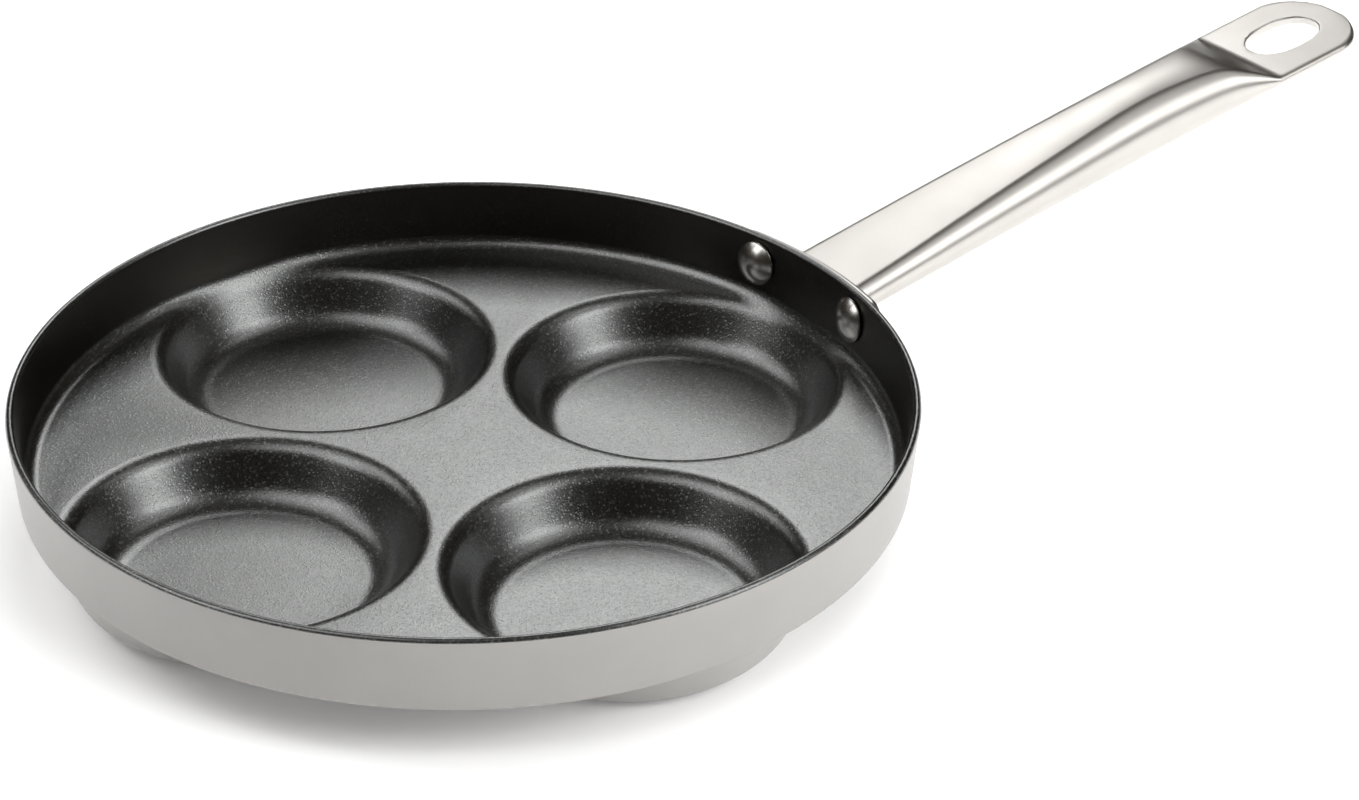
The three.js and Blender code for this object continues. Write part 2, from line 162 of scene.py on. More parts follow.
class Graph:
    """The node tree of a material, of the world or of a geometry modifier, filled by code."""

    def __init__(self, tree: bpy.types.NodeTree) -> None:
        """Empties the tree."""
        self.tree = tree
        tree.nodes.clear()

    def node(self, kind: str, settings: Settings, values: Values) -> bpy.types.Node:
        """Adds a node.

        Args:
            kind: The node's type.
            settings: Its settings, set before its sockets. "stops" gives a ramp its positions and colours.
            values: Value or link for each input, by name or number.

        Returns:
            The node.
        """
        made = self.tree.nodes.new(kind)
        for name, value in settings.items():
            if name == "stops":
                self._stops(made.color_ramp, value)
            else:
                setattr(made, name, value)
        for key, value in values.items():
            if isinstance(value, Signal):
                self.tree.links.new(value.socket, made.inputs[key])
            elif isinstance(value, bpy.types.NodeSocket):
                self.tree.links.new(value, made.inputs[key])
            else:
                made.inputs[key].default_value = value
        return made

    def add(self, kind: str, settings: Settings, values: Values, output: object = 0) -> Signal:
        """Adds a node and takes one of its outputs as a signal."""
        return Signal(self, self.node(kind, settings, values).outputs[output])

    @staticmethod
    def _stops(ramp: bpy.types.ColorRamp, stops: Sequence[Stop]) -> None:
        """Gives a colour ramp its stops.

        Args:
            ramp: The ramp.
            stops: Position and colour of each stop, in order.
        """
        while len(ramp.elements) > 1:
            ramp.elements.remove(ramp.elements[-1])
        for index, (position, colour) in enumerate(stops):
            element = ramp.elements[0] if index == 0 else ramp.elements.new(position)
            element.position = position
            element.color = colour

    def place(self, stretch: tuple[float, float, float] = (1.0, 1.0, 1.0)) -> Signal:
        """The point being shaded, in metres on the object.

        Args:
            stretch: Factor for each axis.

        Returns:
            The point as a vector signal.
        """
        point = self.add("ShaderNodeTexCoord", {}, {}, "Object")
        return self.add("ShaderNodeMapping", {}, {"Vector": point, "Scale": stretch})

    def noise(self, point: Signal, size: float, detail: float = 2.0, roughness: float = 0.5) -> Signal:
        """Soft noise whose blots are about as large as given.

        Args:
            point: Where it is read.
            size: Size of its blots in metres.
            detail: How many finer layers it has.
            roughness: How strong they are.

        Returns:
            Noise from zero to one.
        """
        values = {"Vector": point, "Scale": 1 / size, "Detail": detail, "Roughness": roughness}
        return self.add("ShaderNodeTexNoise", {}, values)

    def mix(self, share: object, first: object, second: object) -> Signal:
        """Mixes two colours.

        Args:
            share: Share of the second colour.
            first: A colour, as three numbers or a signal.
            second: The other colour.

        Returns:
            The mixed colour.
        """
        colours = [(*value, 1.0) if isinstance(value, tuple) else value for value in (first, second)]
        node = self.node("ShaderNodeMix", {"data_type": "RGBA"}, {0: share, 6: colours[0], 7: colours[1]})
        return Signal(self, node.outputs[2])

    def bump(self, height: Signal, depth: float) -> Signal:
        """Turns a height from zero to one into a normal.

        Args:
            height: The height.
            depth: What one stands for, in metres.

        Returns:
            The normal.
        """
        return self.add("ShaderNodeBump", {}, {"Height": height, "Distance": depth})

    def surface(self, values: Mapping[str, object]) -> None:
        """Ends the material with one Principled shader."""
        shader = self.add("ShaderNodeBsdfPrincipled", {}, values)
        self.node("ShaderNodeOutputMaterial", {}, {"Surface": shader})


def material(name: str, build: Callable[[Graph], None]) -> bpy.types.Material:
    """Makes a material.

    Args:
        name: Its name.
        build: Fills its graph.

    Returns:
        The material.
    """
    made = bpy.data.materials.new(name)
    made.use_nodes = True
    build(Graph(made.node_tree))
    return made


# Finishes


@dataclass(frozen=True)
class NonStick:
    """Black non-stick coating.

    Flakes in it make it shine like dark metal, so it is black where nothing bright is mirrored in it.
    The upright wall is given a darker colour than the level parts, by the way its faces point: painted
    shade.
    """

    sheen: Colour = (0.18, 0.184, 0.183)
    fleck: Colour = (0.4, 0.407, 0.4)
    # painted shade: darker colour for the upright wall
    wall_painted_shade: Colour = (0.105, 0.1, 0.09)
    wall_shade_span: Span = (0.12, 0.42)
    fleck_size: float = 0.8 * MM
    fleck_share: float = 0.6
    fleck_edge: float = 0.2
    fleck_height: float = 0.5
    fleck_dull: float = 0.05
    grain_size: float = 0.5 * MM
    grain_span: Span = (0.3, 0.7)
    grain_depth: float = 0.04 * MM
    grain_dull: float = 0.1
    cloud_size: float = 9 * MM
    cloud_dull: float = 0.04
    smoothest: float = 0.23

    def material(self) -> bpy.types.Material:
        """Makes the material."""
        return material("nonstick_coating", self._build)

    def _build(self, graph: Graph) -> None:
        """Fills the graph.

        Args:
            graph: The material's graph.
        """
        point = graph.place()
        cells = graph.node("ShaderNodeTexVoronoi", {}, {"Vector": point, "Scale": 1 / self.fleck_size})
        distance = Signal(graph, cells.outputs["Distance"])
        chance = graph.add("ShaderNodeSeparateColor", {}, {"Color": cells.outputs["Color"]})
        flecks = (chance * self.fleck_share - distance).eased(0.0, self.fleck_edge)
        grain = graph.noise(point, self.grain_size, detail=3.0, roughness=0.6)
        cloud = graph.noise(point, self.cloud_size)
        facing = graph.add("ShaderNodeTexCoord", {}, {}, "Normal")
        upward = Signal(graph, graph.node("ShaderNodeSeparateXYZ", {}, {"Vector": facing}).outputs["Z"])
        level = graph.mix((flecks + grain.eased(*self.grain_span)) * 0.5, self.sheen, self.fleck)
        dull = grain * self.grain_dull + flecks * self.fleck_dull + cloud * self.cloud_dull
        graph.surface(
            {
                # painted shade: the upright wall, found by the direction it faces, gets the darker colour
                "Base Color": graph.mix(upward.eased(*self.wall_shade_span), self.wall_painted_shade, level),
                "Metallic": 1.0,
                "Roughness": dull + self.smoothest,
                "Normal": graph.bump(grain + flecks * self.fleck_height, self.grain_depth),
            }
        )


@dataclass(frozen=True)
class Lacquer:
    """Smooth warm grey lacquer on the outside."""

    grey: Colour = (0.33, 0.319, 0.307)
    shade: Colour = (0.315, 0.305, 0.293)
    shade_span: Span = (0.3, 0.75)
    cloud_size: float = 22 * MM
    peel_size: float = 1.6 * MM
    peel_depth: float = 0.012 * MM
    peel_dull: float = 0.1
    smoothest: float = 0.37
    dust_size: float = 0.25 * MM
    dust_coat: float = 0.1
    coat: float = 0.18
    coat_roughness: float = 0.22

    def material(self) -> bpy.types.Material:
        """Makes the material."""
        return material("grey_lacquer", self._build)

    def _build(self, graph: Graph) -> None:
        """Fills the graph.

        Args:
            graph: The material's graph.
        """
        point = graph.place()
        cloud = graph.noise(point, self.cloud_size, detail=3.0)
        peel = graph.noise(point, self.peel_size)
        dust = graph.noise(point, self.dust_size, detail=1.0)
        graph.surface(
            {
                "Base Color": graph.mix(cloud.eased(*self.shade_span), self.grey, self.shade),
                "Roughness": peel * self.peel_dull + self.smoothest,
                "Coat Weight": dust * self.dust_coat + self.coat,
                "Coat Roughness": self.coat_roughness,
                "Normal": graph.bump(peel, self.peel_depth),
            }
        )


@dataclass(frozen=True)
class Steel:
    """Stainless steel, polished or satin.

    Fine lines run along the grain, which is a direction on the object.
    """

    name: str
    roughness: float
    line_depth: float
    grain: tuple[float, float, float]
    colour: Colour = (0.64, 0.618, 0.588)
    dull: Colour = (0.59, 0.567, 0.537)
    line_size: float = 0.35 * MM
    wipe_size: float = 17 * MM
    wipe_span: Span = (0.35, 0.8)
    wipe_strength: float = 0.5
    unevenness: float = 0.05

    def material(self) -> bpy.types.Material:
        """Makes the material."""
        return material(self.name, self._build)

    def _build(self, graph: Graph) -> None:
        """Fills the graph.

        Args:
            graph: The material's graph.
        """
        lines = graph.noise(graph.place(self.grain), self.line_size, detail=3.0, roughness=0.6)
        wipe = graph.noise(graph.place(), self.wipe_size, detail=3.0)
        share = wipe.eased(*self.wipe_span) * self.wipe_strength
        graph.surface(
            {
                "Base Color": graph.mix(share, self.colour, self.dull),
                "Metallic": 1.0,
                "Roughness": (lines + wipe) * self.unevenness + (self.roughness - self.unevenness),
                "Normal": graph.bump(lines, self.line_depth),
            }
        )


@dataclass(frozen=True)
class FloorPaint:
    """Matt white paint that glows a little, so that the floor is as white as what lies beyond it."""

    white: Colour = (0.86, 0.86, 0.86)
    off_white: Colour = (0.84, 0.84, 0.84)
    cloud_size: float = 0.4
    roughness: float = 0.6
    shine: float = 0.2
    glow: float = 0.13

    def material(self) -> bpy.types.Material:
        """Makes the material."""
        return material("floor_paint", self._build)

    def _build(self, graph: Graph) -> None:
        """Fills the graph.

        Args:
            graph: The material's graph.
        """
        cloud = graph.noise(graph.place(), self.cloud_size)
        graph.surface(
            {
                "Base Color": graph.mix(cloud, self.white, self.off_white),
                "Roughness": self.roughness,
                "Specular IOR Level": self.shine,
                "Emission Color": (1.0, 1.0, 1.0, 1.0),
                "Emission Strength": self.glow,
            }
        )


POLISHED = Steel(name="polished_steel", roughness=0.35, line_depth=0.002 * MM, grain=(0.02, 1.0, 1.0))
DOMED = Steel(
    name="rivet_steel",
    roughness=0.26,
    line_depth=0.0002 * MM,
    grain=(1.0, 1.0, 1.0),
    colour=(0.9, 0.88, 0.85),
    dull=(0.84, 0.82, 0.79),
)
SATIN = Steel(
    name="satin_steel",
    roughness=0.3,
    line_depth=0.004 * MM,
    grain=(1.0, 0.05, 1.0),
    colour=(0.52, 0.505, 0.485),
    dull=(0.47, 0.456, 0.438),
)


# Meshes


class Skin:
    """Collects rings of points and the faces between them, and turns them into one closed mesh."""

    def __init__(self) -> None:
        """Starts empty."""
        self.points: list[Vector] = []
        self.faces: list[list[int]] = []
        self.zones: list[int] = []

    def _keep(self, points: Sequence[Vector]) -> list[int]:
        """Stores points.

        Args:
            points: The points.

        Returns:
            Their numbers.
        """
        first = len(self.points)
        self.points.extend(points)
        return list(range(first, len(self.points)))

    def tube(self, rings: Sequence[Ring], zones: Sequence[Zone] | None = None) -> None:
        """Lays faces over closed rings that turn left about the way they go.

        Args:
            rings: The rings, all with the same number of points.
            zones: The zone of each band between two rings, the first zone if left out.
        """
        rows = [self._keep(ring) for ring in rings]
        for index, (near, far) in enumerate(zip(rows, rows[1:])):
            zone = zones[index] if zones else Zone.COATING
            for i in range(len(near)):
                j = (i + 1) % len(near)
                self.faces.append([near[i], near[j], far[j], far[i]])
                self.zones.append(zone.value)

    def fan(self, ring: Ring, tip: Vector, zone: Zone = Zone.COATING) -> None:
        """Closes a ring to a point.

        Args:
            ring: The ring, which turns left about the way to the point.
            tip: The point.
            zone: Zone of the faces.
        """
        row = self._keep(ring)
        (top,) = self._keep([tip])
        for i in range(len(row)):
            self.faces.append([row[i], row[(i + 1) % len(row)], top])
            self.zones.append(zone.value)

    def closed_tube(self, rings: Sequence[Ring], start: Vector, end: Vector) -> None:
        """Lays faces over closed rings and closes both ends.

        Args:
            rings: The rings.
            start: Point that closes the first ring.
            end: Point that closes the last ring.
        """
        self.tube(rings)
        self.fan(rings[-1], end)
        self.fan(rings[0][::-1], start)

    def object(self, name: str, materials: Sequence[bpy.types.Material]) -> bpy.types.Object:
        """Makes the mesh and its object.

        Args:
            name: Name of both.
            materials: One for each zone.

        Returns:
            The object, at the origin.
        """
        mesh = bpy.data.meshes.new(name)
        mesh.from_pydata(self.points, [], self.faces)
        mesh.polygons.foreach_set("material_index", self.zones)
        shape = bmesh.new()
        shape.from_mesh(mesh)
        bmesh.ops.remove_doubles(shape, verts=shape.verts, dist=MERGE_DISTANCE)
        shape.to_mesh(mesh)
        shape.free()
        mesh.shade_smooth()
        for finish in materials:
            mesh.materials.append(finish)
        made = bpy.data.objects.new(name, mesh)
        bpy.context.scene.collection.objects.link(made)
        return made


def applied(obj: bpy.types.Object) -> None:
    """Bakes an object's modifiers into its mesh and removes them.

    Args:
        obj: The object.
    """
    depsgraph = bpy.context.evaluated_depsgraph_get()
    mesh = bpy.data.meshes.new_from_object(obj.evaluated_get(depsgraph))
    obj.modifiers.clear()
    obj.data = mesh


def cut(obj: bpy.types.Object, tools: Sequence[bpy.types.Object]) -> None:
    """Cuts closed tools out of an object and removes them.

    Args:
        obj: What is cut.
        tools: The cutting shapes.
    """
    for tool in tools:
        modifier = obj.modifiers.new("cut", "BOOLEAN")
        modifier.operation = "DIFFERENCE"
        modifier.solver = "EXACT"
        modifier.object = tool
    applied(obj)
    for tool in tools:
        bpy.data.objects.remove(tool)
    obj.data.shade_smooth()


def handed_over(piece: bpy.types.Object, slot: str, *nodes: str) -> None:
    """Lets a piece stand for its nodes and ride on the pan.

    Args:
        piece: The finished piece.
        slot: Name of its material slot; not used.
        nodes: The nodes that it replaces.
    """
    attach(piece, BODY)
    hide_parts(*nodes)
    LOG.info("%s: %d faces", piece.name, len(piece.data.polygons))


def steps(count: int, low: float = 0.0, high: float = 1.0) -> list[float]:
    """Evenly spaced values from low to high, both included."""
    return [low + (high - low) * i / count for i in range(count + 1)]


def circle(radius: float, count: int) -> list[tuple[float, float]]:
    """Evenly spaced points on a circle round zero."""
    return [(radius * math.cos(turn), radius * math.sin(turn)) for turn in steps(count, 0, math.tau)[:-1]]


def hypotenuse(side: float, other: float) -> float:
    """The long side of a right triangle from its two short ones."""
    return math.sqrt(side * side + other * other)


# Pan


@dataclass(frozen=True)
class CupSide:
    """One side of the sheet where a cup is pressed into it: a lip, a straight slope and a heel.

    The lip is the bend at the mouth and the heel the bend at the floor, both given as radii.
    """

    mouth: float
    depth: float
    lip: float
    slope: float
    heel: float
    floor_shares: tuple[float, ...] = (0.35, 0.7)
    heel_steps: int = 10
    slope_steps: int = 3
    lip_steps: int = 9

    @property
    def floor(self) -> float:
        """The flat floor, which is what the bends and the slope leave.

        Returns:
            Its radius.
        """
        rounds = self.lip + self.heel
        straight = (self.depth - rounds * (1 - math.cos(self.slope))) / math.sin(self.slope)
        return self.mouth - rounds * math.sin(self.slope) - straight * math.cos(self.slope)

    def drop(self, distance: float) -> float:
        """How far the cup lies below the plate.

        Args:
            distance: Distance from the cup's axis.

        Returns:
            The depth, zero outside the cup's mouth.
        """
        lip_end = self.mouth - self.lip * math.sin(self.slope)
        heel_end = self.floor + self.heel * math.sin(self.slope)
        if distance >= self.mouth:
            return 0.0
        if distance >= lip_end:
            return self.lip - math.sqrt(self.lip**2 - (self.mouth - distance) ** 2)
        if distance >= heel_end:
            return self.lip * (1 - math.cos(self.slope)) + (lip_end - distance) * math.tan(self.slope)
        if distance <= self.floor:
            return self.depth
        return self.depth - self.heel + math.sqrt(self.heel**2 - (distance - self.floor) ** 2)

    def radii(self) -> list[float]:
        """Sets the rings round the cup's axis, close together in the bends.

        Returns:
            Their radii, from the floor out to the mouth.
        """
        radii = [self.floor * share for share in self.floor_shares]
        for turn in steps(self.heel_steps, 0, self.slope):
            radii.append(self.floor + self.heel * math.sin(turn))
        radii += steps(self.slope_steps, radii[-1], self.mouth - self.lip * math.sin(self.slope))[1:-1]
        for turn in steps(self.lip_steps, self.slope, 0):
            radii.append(self.mouth - self.lip * math.sin(turn))
        return radii


@dataclass
class PanBody:
    """The pressed sheet: a wall, a flat plate and four cups. Outer sizes come from the frame."""

    axis: Vector
    rim_radius: float
    height: float
    sheet: float = 2.2 * MM
    wall_flare: float = 1.7 * MM
    corner_under: float = 1.5 * MM
    corner_inside: float = 4 * MM
    cup_depth: float = 14.6 * MM
    cup_land: float = 1.2 * MM
    cup_edge: float = 1.4 * MM
    slope_inside: float = math.radians(60.5)
    lip_inside: float = 6 * MM
    heel_inside: float = 9.5 * MM
    slope_under: float = math.radians(66.2)
    lip_under: float = 2.3 * MM
    heel_under: float = 11.3 * MM
    coat_over_rim: float = 0.94
    wall_steps: int = 34
    land_steps: int = 32
    corner_steps: int = 12
    inner_steps: int = 7
    rim_steps: int = 18
    outer_steps: int = 6
    foot_steps: int = 6

    @classmethod
    def from_frame(cls) -> "PanBody":
        """Takes the axis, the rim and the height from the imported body.

        Returns:
            The pan body.
        """
        low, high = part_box("pan_body")
        axis = Vector(((low[0] + high[0]) / 2, (low[1] + high[1]) / 2, 0))
        return cls(axis=axis, rim_radius=(high[0] - low[0]) / 2, height=high[2])

    def __post_init__(self) -> None:
        """Works out the sizes that follow from the others."""
        self.plate = {Side.COOKING: self.cup_depth + self.sheet, Side.UNDER: self.cup_depth}
        self.rim_centre = self.height - self.sheet / 2
        self.foot_centre = self.cup_depth + self.corner_under
        self.foot_radius = self.rim_radius - self.wall_flare
        self.lean = math.atan2(self.wall_flare, self.rim_centre - self.foot_centre)
        free = self.rim_radius - self.cup_edge - self.cup_land * math.sqrt(0.5)
        self.cup_mouth = free / (1 + math.sqrt(2))
        self.cup_reach = self.cup_mouth + self.cup_land / 2
        self.cup_centre = self.cup_reach * math.sqrt(2)
        mouth, depth = self.cup_mouth, self.cup_depth
        self.cup = {
            Side.COOKING: CupSide(mouth, depth, self.lip_inside, self.slope_inside, self.heel_inside),
            Side.UNDER: CupSide(mouth, depth, self.lip_under, self.slope_under, self.heel_under),
        }

    def outer_wall(self, height: float) -> float:
        """Radius of the wall's outside at a height."""
        share = (height - self.foot_centre) / (self.rim_centre - self.foot_centre)
        return self.foot_radius + self.wall_flare * share

    def inner_wall(self, height: float) -> float:
        """Radius of the wall's inside at a height."""
        return self.outer_wall(height) - self.sheet

    def from_cup(self, x: float, y: float) -> float:
        """Distance from a point to the axis of the nearest cup."""
        along = max(abs(x), abs(y)) - self.cup_centre
        return hypotenuse(along, min(abs(x), abs(y)))

    def _section(self) -> tuple[list[tuple[float, float, Side | None]], list[Zone]]:
        """The wall in section, up the inside, over the rim and down the outside.

        Returns:
            Radius, height and the side whose cups draw the point down, and the zone of each band.
        """
        section: list[tuple[float, float, Side | None]] = []
        corner_z = self.plate[Side.COOKING] + self.corner_inside
        corner_r = self.inner_wall(corner_z) - self.corner_inside / math.cos(self.lean)
        for turn in steps(self.corner_steps, 0, math.pi / 2 - self.lean):
            r = corner_r + self.corner_inside * math.sin(turn)
            section.append((r, corner_z - self.corner_inside * math.cos(turn), Side.COOKING))
        for z in steps(self.inner_steps, section[-1][1], self.rim_centre)[1:-1]:
            section.append((self.inner_wall(z), z, None))
        bead = self.sheet / 2
        rim_first = len(section)
        for turn in steps(self.rim_steps, math.pi, 0):
            r = self.rim_radius - bead + bead * math.cos(turn)
            section.append((r, self.rim_centre + bead * math.sin(turn), None))
        for z in steps(self.outer_steps, self.rim_centre, self.foot_centre)[1:-1]:
            section.append((self.outer_wall(z), z, None))
        for turn in steps(self.foot_steps, 0, math.pi / 2):
            r = self.foot_radius - self.corner_under + self.corner_under * math.cos(turn)
            section.append((r, self.foot_centre - self.corner_under * math.sin(turn), Side.UNDER))
        coated = rim_first + round(self.rim_steps * self.coat_over_rim)
        zones = [Zone.COATING if i < coated else Zone.LACQUER for i in range(len(section) - 1)]
        return section, zones

    def _wall_ring(self, r: float, z: float, side: Side | None) -> Ring:
        """One ring of the wall, with the cups' drop carried into it.

        Args:
            r: Its radius.
            z: Its height.
            side: Side of the sheet whose cups draw it down, if any do.

        Returns:
            The ring.
        """
        ring = []
        for x, y in circle(r, self.wall_steps * 8):
            drop = self.cup[side].drop(self.from_cup(x, y)) if side else 0.0
            ring.append(self.axis + Vector((x, y, z - drop)))
        return ring

    def _outline(self, foot: float) -> list[tuple[float, float]]:
        """The outline of one quarter of the plate: the wall's foot and the two strips between cups.

        Args:
            foot: Radius where the wall's section begins.

        Returns:
            Its points, turning left from the middle of the foot.
        """
        half = []
        for angle in steps(self.wall_steps, 0, math.pi / 4):
            half.append((foot * math.cos(angle), foot * math.sin(angle)))
        diagonal = foot * math.sqrt(0.5)
        corner = math.atan2(diagonal, diagonal - self.cup_centre)
        for turn in steps(self.land_steps, corner, math.pi)[1:]:
            reach = self.cup_centre / (math.sin(turn) - math.cos(turn))
            half.append((reach * math.sin(turn), reach * math.sin(turn)))
        return half + [(x, -y) for x, y in reversed(half[1:-1])]

    def _plate_side(self, skin: Skin, foot: float, side: Side, zone: Zone) -> None:
        """Lays one side of the plate, ring by ring round each cup.

        Args:
            skin: Where the faces go.
            foot: Radius where the wall's section begins.
            side: Side of the sheet.
            zone: Finish of the faces.
        """
        outline = self._outline(foot)
        floor = self.cup[side].floor
        for quarter in range(4):
            turn = Matrix.Rotation(quarter * math.pi / 2, 3, "Z")
            spokes = []
            for x, y in outline:
                across = x - self.cup_centre
                edge = hypotenuse(across, y)
                reaches = [self._squeezed(radius, edge, floor) for radius in self.cup[side].radii()]
                reaches += [(self._squeezed(self.cup_mouth, edge, floor) + edge) / 2, edge]
                shares = [reach / edge for reach in reaches]
                spokes.append([self._point(side, turn, across * share, y * share) for share in shares])
            rings = [list(ring) for ring in zip(*spokes)]
            middle = self._point(side, turn, 0, 0)
            zones = [zone] * (len(rings) - 1)
            if side is Side.COOKING:
                skin.tube([ring[::-1] for ring in rings], zones)
                skin.fan(rings[0], middle, zone)
            else:
                skin.tube(rings, zones)
                skin.fan(rings[0][::-1], middle, zone)

    def _point(self, side: Side, turn: Matrix, across: float, y: float) -> Vector:
        """The sheet's point at a place measured from the axis of a cup."""
        depth = self.cup[side].drop(hypotenuse(across, y))
        return self.axis + turn @ Vector((self.cup_centre + across, y, self.plate[side] - depth))

    def _squeezed(self, radius: float, edge: float, floor: float) -> float:
        """Draws a ring in where the outline runs nearer to the cup's axis than the cup reaches.

        Args:
            radius: The ring's radius.
            edge: Distance of the outline from the cup's axis.
            floor: Radius of the cup's floor, inside which nothing is drawn in.

        Returns:
            The radius towards that point of the outline.
        """
        if edge >= self.cup_reach or radius <= floor:
            return radius
        return floor + (radius - floor) / (self.cup_reach - floor) * (edge - floor)

    def build(self, coating: bpy.types.Material, lacquer: bpy.types.Material) -> bpy.types.Object:
        """Makes the pan body.

        Args:
            coating: Finish of the cooking side and the rim.
            lacquer: Finish of the outside.

        Returns:
            The piece.
        """
        skin = Skin()
        section, zones = self._section()
        skin.tube([self._wall_ring(*point)[::-1] for point in section], zones)
        self._plate_side(skin, section[0][0], Side.COOKING, Zone.COATING)
        self._plate_side(skin, section[-1][0], Side.UNDER, Zone.LACQUER)
        return skin.object("pan", [coating, lacquer])


# Rivets


@dataclass
class Rivets:
    """The two rivets that hold the handle's bracket to the wall."""

    pan: PanBody
    spacing: float = 41.5 * MM
    height: float = 27.8 * MM
    shank: float = 3 * MM
    head: float = 6.5 * MM
    dome: float = 2.6 * MM
    edge: float = 0.4 * MM
    tail: float = 4.4 * MM
    tail_dome: float = 1.7 * MM
    soft_share: float = 0.35
    clearance: float = 0.3 * MM
    bracket_plate: float = 2 * MM
    head_steps: int = 14
    tail_steps: int = 8
    turn_steps: int = 56

    def __post_init__(self) -> None:
        """Works out where the rivets stand."""
        self.radius = self.pan.inner_wall(self.height)
        self.angle = math.asin(self.spacing / 2 / self.radius)

    @staticmethod
    def _dome(radius: float, height: float, count: int) -> list[tuple[float, float]]:
        """A dome in section, from its edge to just before its top.

        Args:
            radius: Radius of its flat base.
            height: Its height.
            count: How many steps it has.

        Returns:
            Radius and height over the base of each point.
        """
        ball = (radius**2 + height**2) / (2 * height)
        spread = math.asin(radius / ball)
        points = []
        for turn in steps(count, spread, 0)[:-1]:
            points.append((ball * math.sin(turn), ball * math.cos(turn) - (ball - height)))
        return points

    def _single(self, finish: bpy.types.Material) -> bpy.types.Object:
        """One rivet along +X from the wall's inside, with the head behind it.

        Args:
            finish: Its steel.

        Returns:
            The rivet, to be set in place by the node tree.
        """
        seat = -self.clearance - self.head**2 / (2 * self.radius)
        far_seat = self.pan.sheet + self.bracket_plate + 2 * self.clearance
        soft = self.soft_share * self.edge
        head = self._dome(self.head, self.dome, self.head_steps)
        tail = self._dome(self.tail, self.tail_dome, self.tail_steps)
        profile = [(radius, seat - self.edge - rise) for radius, rise in reversed(head)]
        profile += [(self.head, seat - soft), (self.head - soft, seat), (self.shank, seat)]
        profile += [(self.shank, far_seat), (self.tail - soft, far_seat)]
        profile += [(radius, far_seat + rise) for radius, rise in tail]
        rings = []
        for radius, along in profile:
            rings.append([Vector((along, y, z)) for y, z in circle(radius, self.turn_steps)])
        skin = Skin()
        start = Vector((seat - self.edge - self.dome, 0, 0))
        skin.closed_tube(rings, start, Vector((far_seat + self.tail_dome, 0, 0)))
        return skin.object("rivet_shape", [finish])

    def _tree(self, shape: bpy.types.Object, finish: bpy.types.Material) -> bpy.types.NodeTree:
        """The node tree that sets rivets round the wall.

        Args:
            shape: One rivet.
            finish: Its steel.

        Returns:
            The tree, with the count, the half angle, the radius, the height and the lean as inputs.
        """
        tree = bpy.data.node_groups.new("rivet_row", "GeometryNodeTree")
        for name in ("Count", "Half angle", "Radius", "Height", "Lean"):
            kind = "NodeSocketInt" if name == "Count" else "NodeSocketFloat"
            tree.interface.new_socket(name, in_out="INPUT", socket_type=kind)
        tree.interface.new_socket("Geometry", in_out="OUTPUT", socket_type="NodeSocketGeometry")
        graph = Graph(tree)
        given = graph.node("NodeGroupInput", {}, {})
        inputs = {socket.name: Signal(graph, socket) for socket in given.outputs if socket.name}
        index = graph.add("GeometryNodeInputIndex", {}, {})
        share = index * 2 / (inputs["Count"] - 1) - 1
        angle = share * inputs["Half angle"] * -1
        x = inputs["Radius"] * graph.add("ShaderNodeMath", {"operation": "COSINE"}, {0: angle})
        y = inputs["Radius"] * graph.add("ShaderNodeMath", {"operation": "SINE"}, {0: angle})
        place = graph.add("ShaderNodeCombineXYZ", {}, {"X": x, "Y": y, "Z": inputs["Height"]})
        points = graph.add("GeometryNodePoints", {}, {"Count": inputs["Count"], "Position": place})
        turn = graph.add("ShaderNodeCombineXYZ", {}, {"Y": inputs["Lean"], "Z": angle})
        one = graph.node("GeometryNodeObjectInfo", {}, {"Object": shape})
        set_out = graph.add(
            "GeometryNodeInstanceOnPoints",
            {},
            {"Points": points, "Instance": one.outputs["Geometry"], "Rotation": turn},
        )
        solid = graph.add("GeometryNodeRealizeInstances", {}, {"Geometry": set_out})
        dressed = graph.add("GeometryNodeSetMaterial", {}, {"Geometry": solid, "Material": finish})
        graph.node("NodeGroupOutput", {}, {"Geometry": dressed})
        return tree

    def build(self, finish: bpy.types.Material) -> bpy.types.Object:
        """Makes both rivets.

        Args:
            finish: Their steel.

        Returns:
            The piece.
        """
        shape = self._single(finish)
        tree = self._tree(shape, finish)
        carrier = bpy.data.objects.new("rivets", bpy.data.meshes.new("rivets"))
        bpy.context.scene.collection.objects.link(carrier)
        modifier = carrier.modifiers.new("row", "NODES")
        modifier.node_group = tree
        sizes = {
            "Count": 2,
            "Half angle": self.angle,
            "Radius": self.radius,
            "Height": self.height,
            "Lean": self.pan.lean,
        }
        for socket in tree.interface.items_tree:
            if socket.in_out == "INPUT":
                modifier[socket.identifier] = sizes[socket.name]
        applied(carrier)
        carrier.data.transform(Matrix.Translation(self.pan.axis))
        carrier.data.shade_smooth()
        bpy.data.objects.remove(shape)
        return carrier


# Handle


